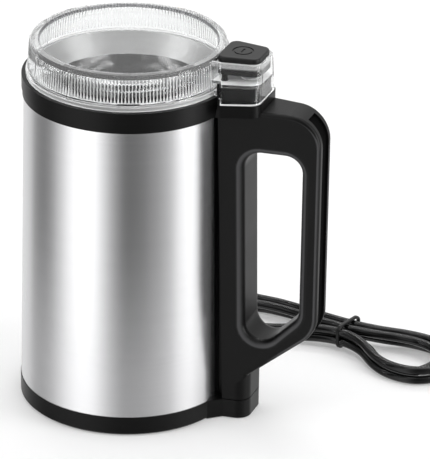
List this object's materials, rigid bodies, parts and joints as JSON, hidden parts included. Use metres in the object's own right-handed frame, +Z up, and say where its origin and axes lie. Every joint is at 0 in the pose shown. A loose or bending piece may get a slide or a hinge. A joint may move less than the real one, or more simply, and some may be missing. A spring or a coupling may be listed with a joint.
{
  "type": "electric coffee grinder",
  "caption": "Electric coffee grinder with a brushed steel body, loop handle, ribbed clear lid, push button over the handle and a tied hank of mains cord.",
  "frame": {"origin": "on the body axis at the underside of the base cover, where the grinder stands on the worktop", "axes": "+Z up along the body and motor axis, +X from the body towards the handle"},
  "size_m": [0.2188, 0.1772, 0.181],
  "materials": {
    "sleeve_steel": "brushed round the body",
    "cup_steel": "polished",
    "liner_steel": "satin",
    "black_plastic": "satin black",
    "button_plastic": "matt charcoal",
    "inlay_rubber": "matt black",
    "clear_plastic": "clear",
    "inner_plastic": "grey moulded",
    "white_plastic": "white moulded",
    "black_rubber": "soft black",
    "screw_steel": "zinc plated",
    "core_steel": "stacked sheet",
    "copper_wire": "enamelled copper",
    "bush_bronze": "sintered",
    "carbon": "carbon",
    "blade_steel": "ground and polished",
    "cord_vinyl": "half gloss black",
    "pin_brass": "bright"
  },
  "bodies": {
    "grinder": {"base_ring": "black_plastic", "base_cover": "black_plastic", "foot_pads": "black_rubber", "base_screws": "screw_steel", "steel_sleeve": "sleeve_steel", "collar_ring": "black_plastic", "chassis": "inner_plastic", "cup_gasket": "black_rubber", "cup_cushion": "black_rubber", "grinding_cup": "cup_steel", "bowl_liner": "liner_steel", "shaft_seal": "black_rubber", "upper_bush": "bush_bronze", "lower_bush": "bush_bronze", "stator_core": "core_steel", "field_coils": "copper_wire", "lower_bracket": "white_plastic", "motor_screws": "screw_steel", "brush_holders": "inner_plastic", "carbon_brushes": "carbon", "switch_cover": "black_plastic", "microswitch": "black_plastic", "handle_shell": "black_plastic", "handle_inlay": "inlay_rubber", "handle_screws": "screw_steel", "strain_relief": "black_rubber", "cord_lead": "cord_vinyl", "cord_hank": "cord_vinyl", "cord_tail": "cord_vinyl", "cord_tie": "black_rubber", "plug_body": "cord_vinyl", "plug_pins": "pin_brass"},
    "lid_body": {"lid": "clear_plastic", "return_spring": "screw_steel"},
    "button_body": {"button": "button_plastic"},
    "plunger_body": {"switch_plunger": "white_plastic"},
    "rotor": {"motor_shaft": "screw_steel", "armature_core": "core_steel", "armature_winding": "copper_wire", "commutator": "copper_wire", "cooling_fan": "white_plastic", "blade": "blade_steel", "blade_cap": "black_plastic"}
  },
  "joints": [
    {"name": "lid_lift", "type": "slide", "parent": "grinder", "child": "lid_body", "axis": [0, 0, 1], "range_m": [0, 0.05]},
    {"name": "button_press", "type": "slide", "parent": "lid_body", "child": "button_body", "axis": [0, 0, -1], "range_m": [0, 0.003], "stiffness_N_per_m": 500, "springref_m": -0.002, "deforming": ["return_spring"]},
    {"name": "switch_press", "type": "slide", "parent": "grinder", "child": "plunger_body", "axis": [0, 0, -1], "range_m": [0, 0.003]},
    {"name": "rotor_spin", "type": "hinge", "parent": "grinder", "child": "rotor", "pos_m": [0, 0, 0.05], "axis": [0, 0, 1], "continuous": true}
  ],
  "couplings": [
    {"joint": "switch_press", "follows": "button_press", "ratio": 1}
  ]
}
